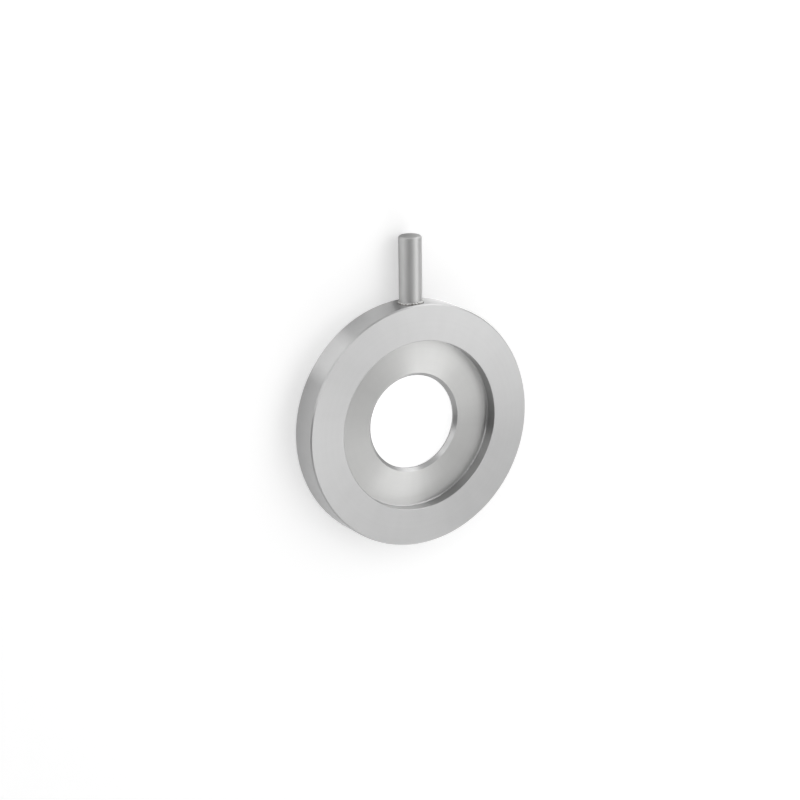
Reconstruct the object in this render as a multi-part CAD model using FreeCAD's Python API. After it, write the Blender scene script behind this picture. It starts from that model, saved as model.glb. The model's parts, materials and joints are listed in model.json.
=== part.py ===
import FreeCAD, Part

# Orifice plate for a flow meter, of the one-piece ring type with a bar handle.
#
# Millimetres. The ring lies on its rear face, which is on z = 0, and its bore axis is the Z axis.
# The front face looks up (+Z). It is the downstream side, where the orifice is bevelled.
# The rear face is the upstream side, where the orifice has its sharp edge.
# The handle points along +Y.

import math
import os

# Ring: clamped inside the bolt circle of a DN 125 PN 16 flange pair
ring_outer_diameter = 192.0
ring_thickness = 25.0
ring_edge_chamfer = 1.0

# Recesses turned into both faces, as wide as the bore of a 139.7 x 2.6 pipe
recess_diameter = 134.5
front_recess_depth = 10.0
recess_lip_break = 0.3
recess_corner_radius = 1.0

# Metering web between the recesses, and the orifice in it
web_thickness = 4.0
orifice_diameter = 74.2
orifice_land = 1.5
bevel_angle = 45.0

# Handle: a round bar, end on to the rim at the middle of the ring's thickness
handle_diameter = 18.0
handle_length = 52.0
handle_end_chamfer = 1.0

# Fillet weld round the foot of the handle, with a flat face between two equal legs
weld_leg = 1.5

# Sizes that follow from those above
rim_radius = ring_outer_diameter / 2
recess_radius = recess_diameter / 2
orifice_radius = orifice_diameter / 2
handle_radius = handle_diameter / 2

rear_recess_depth = ring_thickness - front_recess_depth - web_thickness
web_rear_z = rear_recess_depth
web_front_z = web_rear_z + web_thickness
bevel_start_z = web_rear_z + orifice_land
bevel_outer_radius = orifice_radius + (web_front_z - bevel_start_z) * math.tan(math.radians(bevel_angle))
handle_axis_z = ring_thickness / 2
handle_end_y = rim_radius + handle_length

Z_AXIS = FreeCAD.Vector(0, 0, 1)
Y_AXIS = FreeCAD.Vector(0, 1, 0)
ORIGIN = FreeCAD.Vector(0, 0, 0)
TOLERANCE = 0.001


def section_point(radius, z):
    """A point of the ring's section, in the XZ plane."""
    return FreeCAD.Vector(radius, 0, z)


def line(start, end):
    """A straight edge of an outline."""
    return Part.LineSegment(start, end).toShape()


def arc(start, middle, end):
    """A round edge of an outline, through three points."""
    return Part.Arc(start, middle, end).toShape()


def turned(edges):
    """The solid that a closed outline makes when it is turned round the bore axis."""
    outline = Part.Wire(Part.__sortEdges__(edges))
    return Part.Face(outline).revolve(ORIGIN, Z_AXIS, 360)


def recess_outline(face_z, floor_z, floor_inner_radius):
    """Edges of one recess, from its lip in the ring's face to the inner end of its floor."""
    into_ring = 1 if floor_z > face_z else -1
    lip_outer = section_point(recess_radius + recess_lip_break, face_z)
    lip_inner = section_point(recess_radius, face_z + into_ring * recess_lip_break)
    wall_end = section_point(recess_radius, floor_z - into_ring * recess_corner_radius)
    floor_start = section_point(recess_radius - recess_corner_radius, floor_z)
    inset = recess_corner_radius * (1 - math.cos(math.radians(45)))
    corner_middle = section_point(recess_radius - inset, floor_z - into_ring * inset)
    floor_end = section_point(floor_inner_radius, floor_z)
    return [
        line(lip_outer, lip_inner),
        line(lip_inner, wall_end),
        arc(wall_end, corner_middle, floor_start),
        line(floor_start, floor_end),
    ]


def make_orifice_ring():
    """The turned ring: rim, two sealing faces, two recesses, and the web with the orifice."""
    lip_radius = recess_radius + recess_lip_break
    face_outer_radius = rim_radius - ring_edge_chamfer
    chamfer_top_z = ring_thickness - ring_edge_chamfer

    rear_face_outer = section_point(face_outer_radius, 0)
    rim_bottom = section_point(rim_radius, ring_edge_chamfer)
    rim_top = section_point(rim_radius, chamfer_top_z)
    front_face_outer = section_point(face_outer_radius, ring_thickness)

    sharp_edge = section_point(orifice_radius, web_rear_z)
    land_end = section_point(orifice_radius, bevel_start_z)
    bevel_end = section_point(bevel_outer_radius, web_front_z)

    edges = [
        line(section_point(lip_radius, 0), rear_face_outer),
        line(rear_face_outer, rim_bottom),
        line(rim_bottom, rim_top),
        line(rim_top, front_face_outer),
        line(front_face_outer, section_point(lip_radius, ring_thickness)),
    ]
    edges += recess_outline(ring_thickness, web_front_z, bevel_outer_radius)
    edges += [line(bevel_end, land_end), line(land_end, sharp_edge)]
    edges += recess_outline(0, web_rear_z, orifice_radius)
    return turned(edges)


def make_rim_blank():
    """The full cylinder of the rim, on which the handle's foot and the weld are seated."""
    return Part.makeCylinder(rim_radius, ring_thickness, ORIGIN, Z_AXIS)


def make_bar_blank():
    """The handle's bar before its foot is shaped, from inside the rim to its chamfered free end."""
    foot_y = rim_radius - handle_radius
    shoulder_y = handle_end_y - handle_end_chamfer
    foot = FreeCAD.Vector(0, foot_y, handle_axis_z)
    shoulder = FreeCAD.Vector(0, shoulder_y, handle_axis_z)
    tip_radius = handle_radius - handle_end_chamfer
    body = Part.makeCylinder(handle_radius, shoulder_y - foot_y, foot, Y_AXIS)
    tip = Part.makeCone(handle_radius, tip_radius, handle_end_chamfer, shoulder, Y_AXIS)
    return body.fuse(tip).removeSplitter()


def make_handle_rod():
    """The round bar, its foot cut to a saddle that seats on the rim."""
    return make_bar_blank().cut(make_rim_blank())


def is_seam(edge):
    """Whether an edge of the joined blanks is the seam where the bar meets the rim."""
    point = edge.valueAt((edge.FirstParameter + edge.LastParameter) / 2)
    from_bore_axis = math.hypot(point.x, point.y)
    from_handle_axis = math.hypot(point.x, point.z - handle_axis_z)
    return abs(from_bore_axis - rim_radius) < TOLERANCE and abs(from_handle_axis - handle_radius) < TOLERANCE


def make_handle_weld():
    """The bead: what a chamfer along the seam adds to the joined rim and bar."""
    joined = make_rim_blank().fuse(make_bar_blank()).removeSplitter()
    seam = [edge for edge in joined.Edges if is_seam(edge)]
    return joined.makeChamfer(weld_leg, seam).cut(joined)


NODES = {
    "orifice_ring": make_orifice_ring,
    "handle_rod": make_handle_rod,
    "handle_weld": make_handle_weld,
}


def main():
    """Builds each node, which is one solid, and writes it to parts/."""
    os.makedirs("parts", exist_ok=True)
    for name, make in NODES.items():
        (solid,) = make().Solids
        solid.exportStep(f"parts/{name}.step")
        print(f"{name}: {solid.Volume:.0f} mm3, {solid.BoundBox}")


main()
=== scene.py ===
"""Looks of a ring-type orifice plate: turned ring, bar handle and weld bead, in a plain pale studio."""

import json
import logging
import math
from dataclasses import dataclass, field
from enum import Enum

import bmesh
import bpy
from mathutils import Matrix, Vector, noise


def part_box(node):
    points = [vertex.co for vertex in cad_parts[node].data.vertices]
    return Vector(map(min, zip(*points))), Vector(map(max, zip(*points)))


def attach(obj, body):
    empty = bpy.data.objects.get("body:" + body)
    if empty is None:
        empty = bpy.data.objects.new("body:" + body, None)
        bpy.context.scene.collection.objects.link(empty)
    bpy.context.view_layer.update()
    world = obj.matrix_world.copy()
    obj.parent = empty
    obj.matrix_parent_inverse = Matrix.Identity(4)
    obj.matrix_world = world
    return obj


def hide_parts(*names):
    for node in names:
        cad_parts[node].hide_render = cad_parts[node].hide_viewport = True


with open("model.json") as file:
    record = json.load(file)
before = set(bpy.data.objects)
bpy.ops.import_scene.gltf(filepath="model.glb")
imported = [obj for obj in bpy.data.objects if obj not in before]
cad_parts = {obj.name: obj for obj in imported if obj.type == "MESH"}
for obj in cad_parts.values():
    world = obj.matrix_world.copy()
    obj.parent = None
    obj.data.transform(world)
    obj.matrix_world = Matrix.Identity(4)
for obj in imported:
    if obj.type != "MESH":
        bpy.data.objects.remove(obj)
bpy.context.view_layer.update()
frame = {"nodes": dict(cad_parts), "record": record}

MM = 0.001
BODY = "root"
Colour = tuple[float, float, float]
WHITE = (1.0, 1.0, 1.0, 1.0)

log = logging.getLogger("orifice_plate")


def grey(level: float) -> Colour:
    """A neutral colour."""
    return (level, level, level)


class Value:
    """A socket of a node tree, on which arithmetic adds Math nodes."""

    def __init__(self, graph: "Graph", socket: bpy.types.NodeSocket) -> None:
        """Wraps an output socket of a graph."""
        self.graph = graph
        self.socket = socket

    def _math(self, operation: str, *operands: "Value | float") -> "Value":
        """The result of a Math node on the operands."""
        return self.graph.node("ShaderNodeMath", {"operation": operation}, dict(enumerate(operands)))

    def __add__(self, other: "Value | float") -> "Value":
        """Sum."""
        return self._math("ADD", self, other)

    def __radd__(self, other: float) -> "Value":
        """Sum, from the right."""
        return self._math("ADD", other, self)

    def __sub__(self, other: "Value | float") -> "Value":
        """Difference."""
        return self._math("SUBTRACT", self, other)

    def __rsub__(self, other: float) -> "Value":
        """Difference, from the right."""
        return self._math("SUBTRACT", other, self)

    def __mul__(self, other: "Value | float") -> "Value":
        """Product."""
        return self._math("MULTIPLY", self, other)

    def __rmul__(self, other: float) -> "Value":
        """Product, from the right."""
        return self._math("MULTIPLY", other, self)

    def __truediv__(self, other: "Value | float") -> "Value":
        """Quotient."""
        return self._math("DIVIDE", self, other)

    def __rtruediv__(self, other: float) -> "Value":
        """Quotient, from the right."""
        return self._math("DIVIDE", other, self)

    def hypot(self, other: "Value") -> "Value":
        """Length of the plane vector that this value and another make."""
        return self._math("SQRT", self * self + other * other)

    def clamp(self) -> "Value":
        """The value, kept from 0 to 1."""
        return self.graph.node("ShaderNodeClamp", {}, {"Value": self})

    def ramp(self, low: float, high: float) -> "Value":
        """A smooth step.

        Args:
            low: Where the result is 0.
            high: Where it is 1; it may be less than low.

        Returns:
            A value from 0 to 1.
        """
        start, end = (0.0, 1.0) if low < high else (1.0, 0.0)
        return self.graph.node("ShaderNodeMapRange", {"interpolation_type": "SMOOTHSTEP"}, {
            "Value": self,
            "From Min": min(low, high),
            "From Max": max(low, high),
            "To Min": start,
            "To Max": end,
        })


@dataclass(frozen=True)
class Grain:
    """How fine a layer of noise is, in waves for each unit, and its share where layers are summed."""

    frequency: float
    detail: float = 1.0
    share: float = 1.0


class Graph:
    """A node tree that is built from expressions."""

    def __init__(self, tree: bpy.types.NodeTree) -> None:
        """Empties the tree of a material or of the world."""
        self.tree = tree
        self.tree.nodes.clear()

    def node(self, kind: str, settings: dict | None = None, inputs: dict | None = None,
             output: int | str = 0) -> Value | None:
        """Adds a node of any type.

        Args:
            kind: The node's type.
            settings: Attributes of the node, set before its sockets.
            inputs: Values or links, by the sockets' names or numbers.
            output: The output to return.

        Returns:
            The node's output, if it has one.
        """
        made = self.tree.nodes.new(kind)
        for name, setting in (settings or {}).items():
            setattr(made, name, setting)
        for name, value in (inputs or {}).items():
            if isinstance(value, Value):
                self.tree.links.new(value.socket, made.inputs[name])
            else:
                made.inputs[name].default_value = value
        return Value(self, made.outputs[output]) if made.outputs else None

    def place(self) -> Value:
        """Where the shaded point is, in the piece's own coordinates."""
        return self.node("ShaderNodeTexCoord", output="Object")

    def ray(self, kind: str) -> Value:
        """1 for rays of one kind, such as Camera or Glossy, and 0 for the others."""
        return self.node("ShaderNodeLightPath", output=f"Is {kind} Ray")

    def split(self, vector: Value) -> tuple[Value, Value, Value]:
        """The three parts of a vector."""
        outputs = self.node("ShaderNodeSeparateXYZ", {}, {"Vector": vector}).socket.node.outputs
        return tuple(Value(self, output) for output in outputs)

    def join(self, x: Value | float, y: Value | float, z: Value | float) -> Value:
        """A vector from its three parts."""
        return self.node("ShaderNodeCombineXYZ", {}, {"X": x, "Y": y, "Z": z})

    def noise(self, vector: Value, grain: Grain) -> Value:
        """Noise from 0 to 1, read at the vector's place."""
        inputs = {"Vector": vector, "Scale": grain.frequency, "Detail": grain.detail}
        return self.node("ShaderNodeTexNoise", {}, inputs)

    def blend(self, factor: Value, first: Value, second: Value) -> Value:
        """The first shader where the factor is 0, and the second where it is 1."""
        return self.node("ShaderNodeMixShader", {}, {0: factor, 1: first, 2: second})

    def tint(self, factor: Value, first: Colour, second: Colour) -> Value:
        """The first colour where the factor is 0, and the second where it is 1."""
        inputs = {0: factor, 6: first + (1.0,), 7: second + (1.0,)}
        return self.node("ShaderNodeMix", {"data_type": "RGBA"}, inputs, 2)

    def surface(self, shader: Value) -> None:
        """Makes a shader the material's surface."""
        self.node("ShaderNodeOutputMaterial", {}, {"Surface": shader})


class Lay(Enum):
    """Which way the marks of a tool run. The value is the turn of the reflection's stretch."""

    ROUND_THE_BORE = 0.25
    NONE = 0.0


@dataclass(frozen=True)
class SteelFinish:
    """One way in which the steel is finished."""

    colour: Colour
    roughness: float
    anisotropy: float = 0.0
    lay: Lay = Lay.ROUND_THE_BORE
    mark_height: float = 0.002 * MM
    tone_range: float = 0.05
    roughness_range: float = 0.03

    def shader(self, graph: Graph, marks: Value, tone: Value) -> Value:
        """A metal shader with this finish.

        Args:
            graph: The material's graph.
            marks: Height of the tool marks, from 0 to 1.
            tone: Slow noise around 0.5, which varies colour and roughness.

        Returns:
            The shader.
        """
        dark = tuple(part * (1 - self.tone_range) for part in self.colour)
        light = tuple(part * (1 + self.tone_range) for part in self.colour)
        relief = {"Strength": 1.0, "Distance": self.mark_height, "Height": marks}
        return graph.node("ShaderNodeBsdfPrincipled", {}, {
            "Base Color": graph.tint(tone, dark, light),
            "Metallic": 1.0,
            "Roughness": (tone - 0.5) * self.roughness_range + self.roughness,
            "Anisotropic": self.anisotropy,
            "Anisotropic Rotation": self.lay.value,
            "Normal": graph.node("ShaderNodeBump", {}, relief),
        })


@dataclass(frozen=True)
class TurnedSteel:
    """Material of the turned ring: satin faces, a finely turned recess and a plainer rim.

    The grooves and rings are read in millimetres from the bore axis, the sectors by direction from it and
    the patches in metres.
    """

    face: SteelFinish = SteelFinish(grey(0.505), roughness=0.298, anisotropy=0.358)
    rim: SteelFinish = SteelFinish(grey(0.54), roughness=0.3, anisotropy=0.5)
    edge: SteelFinish = SteelFinish(grey(0.55), roughness=0.35, anisotropy=0.3)
    wall: SteelFinish = SteelFinish(grey(0.46), roughness=0.306, anisotropy=0.993)
    web: SteelFinish = SteelFinish((0.56, 0.56, 0.553), roughness=0.351, anisotropy=0.931,
                                   mark_height=0.003 * MM)
    bevel: SteelFinish = SteelFinish(grey(0.59), roughness=0.321, anisotropy=0.608)
    step: float = 0.1 * MM
    grooves: Grain = Grain(1.7, detail=3.0)
    rings: Grain = Grain(0.45, share=0.25)
    sectors: Grain = Grain(9.0, share=0.35)
    patches: Grain = Grain(40.0, share=0.4)
    sector_drift: float = 4.0
    tone_contrast: float = 1.6

    def material(self, ring: "OrificeRing") -> bpy.types.Material:
        """Builds the material.

        Args:
            ring: The ring, whose sizes part the regions.

        Returns:
            The material.
        """
        material = new_material("turned_steel")
        graph = Graph(material.node_tree)
        place = graph.place()
        x, y, z = graph.split(place)
        radius = x.hypot(y)
        section = graph.join(radius / MM, z / MM, 0.0)
        direction = graph.join(x / radius, y / radius, radius * self.sector_drift)
        marks = graph.noise(section, self.grooves)
        tone = graph.noise(section, self.rings) * self.rings.share
        tone = tone + graph.noise(direction, self.sectors) * self.sectors.share
        tone = tone + graph.noise(place, self.patches) * self.patches.share
        tone = (tone - 0.5) * self.tone_contrast + 0.5
        half_step = self.step / 2

        def outside(limit: float) -> Value:
            """1 further from the axis than the limit, 0 nearer to it."""
            return radius.ramp(limit - half_step, limit + half_step)

        def between(low: float, high: float) -> Value:
            """1 where the height is between two limits, 0 elsewhere."""
            return z.ramp(low - half_step, low + half_step) * z.ramp(high + half_step, high - half_step)

        beyond_face = outside(ring.outer_radius - ring.chamfer)
        regions = (
            (outside(ring.bevel_radius), self.web),
            (outside(ring.recess_radius - ring.corner), self.wall),
            (outside(ring.recess_radius + half_step), self.face),
            (beyond_face, self.edge),
            (beyond_face * between(ring.chamfer, ring.thickness - ring.chamfer), self.rim),
        )
        shader = self.bevel.shader(graph, marks, tone)
        for mask, finish in regions:
            shader = graph.blend(mask, shader, finish.shader(graph, marks, tone))
        graph.surface(shader)
        return material


@dataclass(frozen=True)
class BarSteel:
    """Material of the handle: bright drawn bar, with fine marks along it, read in millimetres."""

    finish: SteelFinish = SteelFinish((0.572, 0.572, 0.568), roughness=0.427, lay=Lay.NONE)
    marks: Grain = Grain(1.5, detail=3.0)
    marks_along: float = 0.03
    tone: Grain = Grain(0.3, detail=3.0)
    tone_along: float = 0.2

    def material(self) -> bpy.types.Material:
        """Builds the material.

        Returns:
            The material.
        """
        material = new_material("bar_steel")
        graph = Graph(material.node_tree)
        x, y, z = graph.split(graph.place())
        marks = graph.noise(graph.join(x / MM, y / MM * self.marks_along, z / MM), self.marks)
        tone = graph.noise(graph.join(x / MM, y / MM * self.tone_along, z / MM), self.tone)
        graph.surface(self.finish.shader(graph, marks, tone))
        return material


@dataclass(frozen=True)
class WeldMetal:
    """Material of the weld: bright, slightly rough metal, with painted shadow as a dark band at its toe
    on the rim.
    """

    crown: SteelFinish = SteelFinish((0.6, 0.6, 0.59), roughness=0.33, lay=Lay.NONE,
                                     mark_height=0.02 * MM)
    # Painted shadow: the dark band along the bead's edge on the rim stands for the shade under the bead.
    toe_shadow: SteelFinish = SteelFinish((0.22, 0.21, 0.2), roughness=0.5, lay=Lay.NONE,
                                   mark_height=0.02 * MM)
    toe_shadow_width: float = 0.3 * MM
    marks: Grain = Grain(900.0, detail=2.0)
    tone: Grain = Grain(300.0, detail=2.0)

    def material(self, bead: "WeldBead") -> bpy.types.Material:
        """Builds the material.

        Args:
            bead: The bead, whose sizes part its crown from its toe.

        Returns:
            The material.
        """
        material = new_material("weld_metal")
        graph = Graph(material.node_tree)
        place = graph.place()
        marks = graph.noise(place, self.marks)
        tone = graph.noise(place, self.tone)
        x, _, z = graph.split(place)
        # Painted shadow: dark where the bead meets the rim, at its toe.
        out = x.hypot(z - bead.axis_z) + (tone - 0.5) * self.toe_shadow_width
        in_toe_shadow = out.ramp(bead.toe_radius - self.toe_shadow_width, bead.toe_radius)
        crown, toe_shadow = (finish.shader(graph, marks, tone) for finish in (self.crown, self.toe_shadow))
        graph.surface(graph.blend(in_toe_shadow, crown, toe_shadow))
        return material


def new_material(name: str) -> bpy.types.Material:
    """An empty node material.

    Args:
        name: The material's name.

    Returns:
        The material.
    """
    material = bpy.data.materials.new(name)
    material.use_nodes = True
    return material


def dress(piece: bpy.types.Object, material: bpy.types.Material) -> None:
    """Gives every material slot of a piece the same material.

    Args:
        piece: The piece.
        material: Its material.
    """
    if not piece.material_slots:
        piece.data.materials.append(material)
    for slot in piece.material_slots:
        slot.material = material


def add_object(name: str, data: bpy.types.ID) -> bpy.types.Object:
    """Puts a new object into the scene.

    Args:
        name: The object's name.
        data: Its mesh, lamp or camera.

    Returns:
        The object, at the origin.
    """
    added = bpy.data.objects.new(name, data)
    bpy.context.scene.collection.objects.link(added)
    return added


def add_mesh(name: str, shape: bmesh.types.BMesh) -> bpy.types.Object:
    """Puts a finished shape into the scene, and frees it.

    Args:
        name: The name of the object and of its mesh.
        shape: The shape.

    Returns:
        The object, at the origin.
    """
    mesh = bpy.data.meshes.new(name)
    shape.to_mesh(mesh)
    shape.free()
    return add_object(name, mesh)


@dataclass
class OrificeRing:
    """The turned ring, with the sizes that its finish needs."""

    node: str = "orifice_ring"
    chamfer: float = 1.0 * MM
    corner: float = 0.9 * MM
    bevel_width: float = 2.5 * MM
    outer_radius: float = field(init=False)
    thickness: float = field(init=False)
    recess_radius: float = field(init=False)
    bevel_radius: float = field(init=False)

    def __post_init__(self) -> None:
        """Reads the ring's sizes from the frame."""
        low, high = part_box(self.node)
        mounts = {mount["name"]: mount for mount in frame["record"]["mounts"]}
        self.outer_radius = (high[0] - low[0]) / 2
        self.thickness = high[2] - low[2]
        self.recess_radius = mounts["front_recess"]["dims"]["r_mm"] * MM
        self.bevel_radius = mounts["orifice_bore"]["dims"]["r_mm"] * MM + self.bevel_width

    @property
    def face_centre(self) -> Vector:
        """Centre of the front face's plane."""
        return Vector((0, 0, self.thickness))

    def build(self) -> None:
        """Dresses the ring."""
        dress(frame["nodes"][self.node], TurnedSteel().material(self))
        log.info("dressed %s", self.node)


@dataclass
class WeldBead:
    """The fillet bead round the bar's foot: a rounded crown with ripples, on the curve of the rim."""

    ring: OrificeRing
    name: str = "weld_bead"
    node: str = "handle_weld"
    bar_node: str = "handle_rod"
    climb: float = 1.5 * MM
    reach: float = 1.15 * MM
    crown: float = 0.3 * MM
    sunk: float = 0.4 * MM
    ripples: int = 24
    ripple_depth: float = 0.32 * MM
    ripple_middle: float = 0.6
    waviness: float = 0.3 * MM
    wave_length: float = 3 * MM
    toe_share: float = 0.5
    crown_points: int = 9
    steps: int = 416
    bar_radius: float = field(init=False)
    axis_z: float = field(init=False)

    def __post_init__(self) -> None:
        """Reads the bar's sizes from the frame."""
        low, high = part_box(self.bar_node)
        self.bar_radius = (high[0] - low[0]) / 2
        self.axis_z = (high[2] + low[2]) / 2

    @property
    def toe_radius(self) -> float:
        """Distance from the bar's axis to the bead's edge on the rim."""
        return self.bar_radius + self.reach

    def outline(self) -> list[Vector]:
        """The bead's section.

        Returns:
            Its corners, each by its distance from the bar's axis and its height above the rim.
        """
        points = []
        for index in range(self.crown_points):
            along = index / (self.crown_points - 1)
            bulge = self.crown * math.sin(math.pi * along) / math.sqrt(2)
            out = self.bar_radius + self.reach * along + bulge
            points.append(Vector((out, self.climb * (1 - along) + bulge, 0)))
        inside = self.bar_radius - self.sunk
        points.append(Vector((self.toe_radius, -self.sunk, 0)))
        points.append(Vector((inside, -self.sunk, 0)))
        points.append(Vector((inside, self.climb, 0)))
        return points

    def settle(self, vertex: bmesh.types.BMVert) -> None:
        """Moves a vertex of the plain ring bead to its place on the rim, ripples included.

        Args:
            vertex: A vertex; its height above the rim is its y.
        """
        out, height = math.hypot(vertex.co.x, vertex.co.z), vertex.co.y
        angle = math.atan2(vertex.co.x, vertex.co.z)
        fullness = max(0.0, (out - self.bar_radius) / self.reach + height / self.climb - self.toe_share)
        ripple = abs(math.sin(angle * self.ripples / 2)) - self.ripple_middle
        drift = noise.noise(Vector((vertex.co.x, vertex.co.z, 0)) / self.wave_length) * self.waviness
        swell = min(1.0, fullness) * (self.ripple_depth * ripple + drift)
        grown = 1 + swell / out
        x, z = vertex.co.x * grown, vertex.co.z * grown
        rim = math.sqrt(self.ring.outer_radius ** 2 - x ** 2)
        vertex.co = Vector((x, rim + height + swell * max(0.0, height / self.climb), self.axis_z + z))

    def build(self) -> None:
        """Makes the bead, which stands for the plain weld."""
        bead = bmesh.new()
        corners = [bead.verts.new(point) for point in self.outline()]
        edges = [bead.edges.new(pair) for pair in zip(corners, corners[1:] + corners[:1])]
        bmesh.ops.spin(bead, geom=corners + edges, axis=(0, 1, 0), cent=(0, 0, 0), angle=math.tau,
                       steps=self.steps, use_merge=True)
        for vertex in bead.verts:
            self.settle(vertex)
        bmesh.ops.recalc_face_normals(bead, faces=bead.faces)
        for face in bead.faces:
            face.smooth = True
        piece = add_mesh(self.name, bead)
        dress(piece, WeldMetal().material(self))
        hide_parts(self.node)
        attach(piece, BODY)
        log.info("bead of %d faces in place of %s", len(piece.data.polygons), self.node)


@dataclass
class Handle:
    """The bar and the weld round its foot."""

    ring: OrificeRing
    bar_node: str = "handle_rod"

    def build(self) -> None:
        """Dresses the bar and makes the weld."""
        dress(frame["nodes"][self.bar_node], BarSteel().material())
        log.info("dressed %s", self.bar_node)
        WeldBead(self.ring).build()


@dataclass(frozen=True)
class ReferenceCamera:
    """The camera, at the reference view's angle to the front face.

    The angles are those of the upright ring, whose front face looks along -Y and whose handle points up.
    The part lies down here, so the same view looks down on it.
    """

    azimuth_deg: float = -30.20
    elevation_deg: float = 16.60
    roll_deg: float = -0.64
    distance_radii: float = 24.63
    frame_px: float = 800.0
    radius_px: float = 124.31
    centre_px: tuple[float, float] = (420.31, 425.61)
    sensor_mm: float = 36.0
    clip_end: float = 100.0

    def build(self, ring: OrificeRing) -> None:
        """Places the camera.

        Args:
            ring: The ring, whose front face is the middle of the view.
        """
        azimuth = math.radians(self.azimuth_deg)
        elevation = math.radians(self.elevation_deg)
        back = Vector((math.sin(azimuth) * math.cos(elevation), math.sin(elevation),
                       math.cos(azimuth) * math.cos(elevation)))
        level = Vector((math.cos(azimuth), 0, -math.sin(azimuth)))
        axes = Matrix((level, back.cross(level), back)).transposed()
        turned = axes @ Matrix.Rotation(math.radians(self.roll_deg), 3, "Z")
        data = bpy.data.cameras.new("reference_camera")
        data.sensor_width = self.sensor_mm
        data.lens = self.sensor_mm * self.radius_px * self.distance_radii / self.frame_px
        data.shift_x = (self.frame_px / 2 - self.centre_px[0]) / self.frame_px
        data.shift_y = (self.centre_px[1] - self.frame_px / 2) / self.frame_px
        data.clip_end = self.clip_end
        camera = add_object("reference_camera", data)
        place = ring.face_centre + back * self.distance_radii * ring.outer_radius
        camera.matrix_world = Matrix.Translation(place) @ turned.to_4x4()
        bpy.context.scene.camera = camera
        log.info("camera at %s", tuple(round(part, 3) for part in place))


@dataclass(frozen=True)
class Softbox:
    """A rectangular lamp that faces the middle of the ring.

    Its place is given by its tilt from straight above and its azimuth, which turns from +X to +Y.
    Its radiance is how bright it looks in a mirror, where 1 is white.
    """

    name: str
    tilt_deg: float
    azimuth_deg: float
    size: tuple[float, float]
    radiance: float
    distance: float = 1.2
    turn_deg: float = 0.0

    def build(self) -> None:
        """Hangs the lamp."""
        data = bpy.data.lights.new(self.name, "AREA")
        data.shape = "RECTANGLE"
        data.size, data.size_y = self.size
        data.energy = self.radiance * math.pi * self.size[0] * self.size[1]
        tilt = math.radians(self.tilt_deg)
        azimuth = math.radians(self.azimuth_deg)
        towards = Vector((math.sin(tilt) * math.cos(azimuth), math.sin(tilt) * math.sin(azimuth),
                          math.cos(tilt)))
        side = Vector((0, 1, 0)).cross(towards).normalized()
        axes = Matrix((side, towards.cross(side), towards)).transposed()
        turned = axes @ Matrix.Rotation(-math.radians(self.turn_deg), 3, "Z")
        lamp = add_object(self.name, data)
        lamp.matrix_world = Matrix.Translation(towards * self.distance) @ turned.to_4x4()


@dataclass(frozen=True)
class PaintedReflectionSector:
    """A sector of the floor beside the part that only reflections see: a painted reflection, lighter for
    a positive gain and darker for a negative one.
    """

    azimuth_deg: float
    half_width_deg: float
    gain: float
    reach: float = 140 * MM
    soft_edge: float = 20 * MM

    def level(self, x: Value, y: Value, radius: Value) -> Value:
        """How strongly the painted reflection shows at a place on the floor.

        Args:
            x: The place along X.
            y: The place along Y.
            radius: Its distance from the bore axis.

        Returns:
            The painted reflection's gain, which fades to 0 at its edges.
        """
        centre = math.radians(self.azimuth_deg)
        nearness = (x * math.cos(centre) + y * math.sin(centre)) / radius
        along = nearness.ramp(math.cos(math.radians(self.half_width_deg)), 1.0)
        return along * radius.ramp(self.reach, self.reach - self.soft_edge) * self.gain


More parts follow.
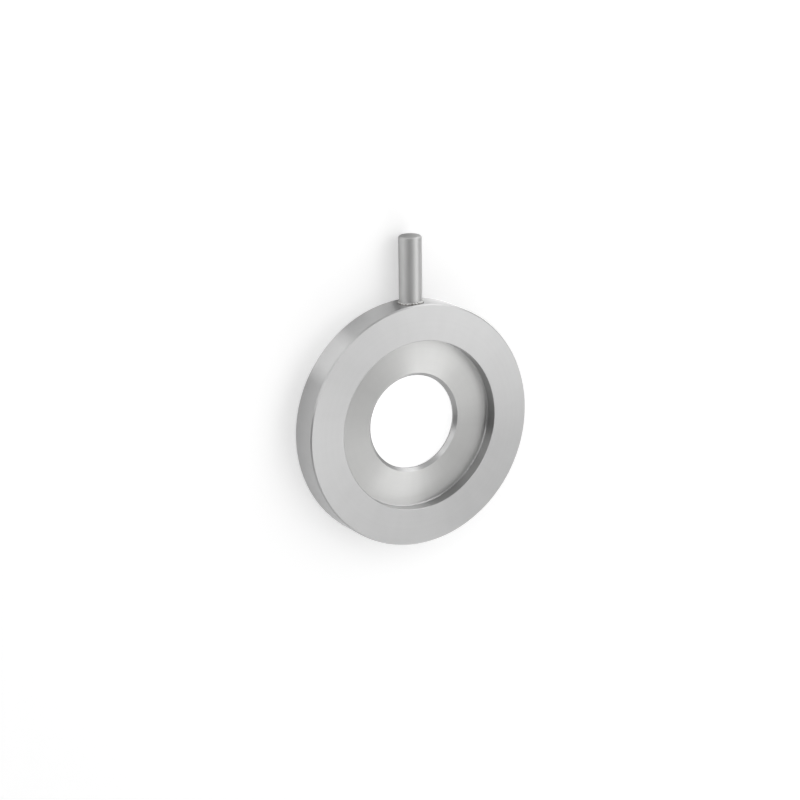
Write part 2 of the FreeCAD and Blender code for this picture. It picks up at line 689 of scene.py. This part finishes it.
@dataclass(frozen=True)
class PaleFloor:
    """The plain floor that the part lies on, with sectors of painted reflection beside the part.

    The lifts are what the floor gives off by itself: for the camera near the part, in the ring's bore,
    where it is painted light that hides the ring's shadow, and far off, where the lamps fall away, and
    for reflections.
    """

    half_width: float = 4.0
    albedo: float = 0.82
    lift: float = 0.34
    # Painted light: the floor in the bore glows more, which hides the ring's shadow there.
    bore_lift: float = 0.75
    bore_radius: float = 60 * MM
    bore_edge: float = 5 * MM
    far_lift: float = 0.8
    far_radii: tuple[float, float] = (400 * MM, 800 * MM)
    glossy_lift: float = 0.2
    # Painted reflections: floor sectors that glow only for reflections, to light parts of the rim.
    painted_reflection_sectors: tuple[PaintedReflectionSector, ...] = (
        PaintedReflectionSector(azimuth_deg=137, half_width_deg=17, gain=0.38),
        PaintedReflectionSector(azimuth_deg=102, half_width_deg=10, gain=0.14, reach=114 * MM),
        PaintedReflectionSector(azimuth_deg=59, half_width_deg=28, gain=0.7, reach=114 * MM),
    )
    # Painted shade: the floor beside the bar turns dark for reflections only, which darkens the bar's
    # edge.
    painted_reflection_shade: PaintedReflectionSector = PaintedReflectionSector(azimuth_deg=90, half_width_deg=7, gain=0.5, reach=200 * MM)

    def build(self) -> None:
        """Lays the floor."""
        sheet = bmesh.new()
        bmesh.ops.create_grid(sheet, x_segments=1, y_segments=1, size=self.half_width)
        floor = add_mesh("floor", sheet)
        dress(floor, self.material())

    def material(self) -> bpy.types.Material:
        """A matt pale surface, lifted so that the camera sees it white where nothing shades it.

        Returns:
            The material.
        """
        material = new_material("floor")
        graph = Graph(material.node_tree)
        x, y, _ = graph.split(graph.place())
        radius = x.hypot(y)
        # Painted light in the bore: a stronger glow for the camera washes out the ring's shadow on the
        # floor.
        in_bore = radius.ramp(self.bore_radius, self.bore_radius - self.bore_edge)
        far_off = radius.ramp(*self.far_radii)
        shown = in_bore * (self.bore_lift - self.lift) + far_off * (self.far_lift - self.lift) + self.lift
        # The floor's glow for reflections: an even lift, plus the painted reflection sectors beside the
        # rim.
        reflection_glow = sum((painted_sector.level(x, y, radius) for painted_sector in self.painted_reflection_sectors), self.glossy_lift)
        glossy = graph.ray("Glossy")
        # Painted shade in reflections: where it applies, glossy rays see the floor black and without
        # glow.
        reflection_shade_level = glossy * self.painted_reflection_shade.level(x, y, radius)
        lift = graph.ray("Camera") * shown + glossy * reflection_glow * (1 - reflection_shade_level)
        colour = graph.tint(reflection_shade_level, grey(self.albedo), grey(0.0))
        matt = graph.node("ShaderNodeBsdfDiffuse", {}, {"Color": colour})
        glow = graph.node("ShaderNodeEmission", {}, {"Color": WHITE, "Strength": lift})
        graph.surface(graph.node("ShaderNodeAddShader", {}, {0: matt, 1: glow}))
        return material


@dataclass(frozen=True)
class Studio:
    """World light, lamps and floor.

    The world's light goes from the horizon's level to the zenith's, with a slight slope across it, and is
    shaded round one direction. The camera sees it white.
    """

    horizon: float = 0.564
    zenith: float = 0.639
    rise_along_x: float = 0.022
    rise_along_y: float = -0.038
    shade: float = 0.877
    shade_centre: tuple[float, float, float] = (-0.65, 0.081, 0.756)
    shade_from: float = 0.741
    lamps: tuple[Softbox, ...] = (
        Softbox("key_softbox", tilt_deg=59.5, azimuth_deg=40.3, size=(0.598, 2.608), radiance=1.131,
                distance=1.022, turn_deg=28.0),
        Softbox("back_softbox", tilt_deg=45.4, azimuth_deg=136.7, size=(0.742, 1.362), radiance=0.897,
                distance=1.529),
        Softbox("front_softbox", tilt_deg=74.5, azimuth_deg=-60.7, size=(1.553, 1.011), radiance=0.936),
        Softbox("side_softbox", tilt_deg=73.9, azimuth_deg=162.6, size=(0.94, 0.571), radiance=0.934),
        Softbox("top_softbox", tilt_deg=24.2, azimuth_deg=-46.3, size=(0.21, 0.248), radiance=1.909),
    )

    def build(self) -> None:
        """Lights the part and lays the floor."""
        self.light_world()
        for lamp in self.lamps:
            lamp.build()
        PaleFloor().build()
        bpy.context.scene.view_settings.view_transform = "Standard"
        log.info("studio with %d lamps", len(self.lamps))

    def light_world(self) -> None:
        """Makes the world's light."""
        world = bpy.data.worlds.new("studio")
        bpy.context.scene.world = world
        world.use_nodes = True
        graph = Graph(world.node_tree)
        towards = graph.node("ShaderNodeTexCoord", output="Generated")
        x, y, z = graph.split(towards)
        facing = graph.node("ShaderNodeVectorMath", {"operation": "DOT_PRODUCT"},
                            {0: towards, 1: self.shade_centre}, "Value")
        shaded = (facing - self.shade_from) / (1 - self.shade_from)
        clear = 1 - shaded.clamp() * self.shade
        level = z.clamp() * (self.zenith - self.horizon) + self.horizon
        level = level + x * self.rise_along_x + y * self.rise_along_y
        camera = graph.ray("Camera")
        shown = level * clear * (1 - camera) + camera
        sky = graph.node("ShaderNodeBackground", {}, {"Color": WHITE, "Strength": shown})
        graph.node("ShaderNodeOutputWorld", {}, {"Surface": sky})


def main() -> None:
    """Builds the camera, the studio and the dressed part."""
    logging.basicConfig(level=logging.INFO, format="%(name)s: %(message)s")
    ring = OrificeRing()
    ReferenceCamera().build(ring)
    Studio().build()
    ring.build()
    Handle(ring).build()


if __name__ == "__main__":
    main()
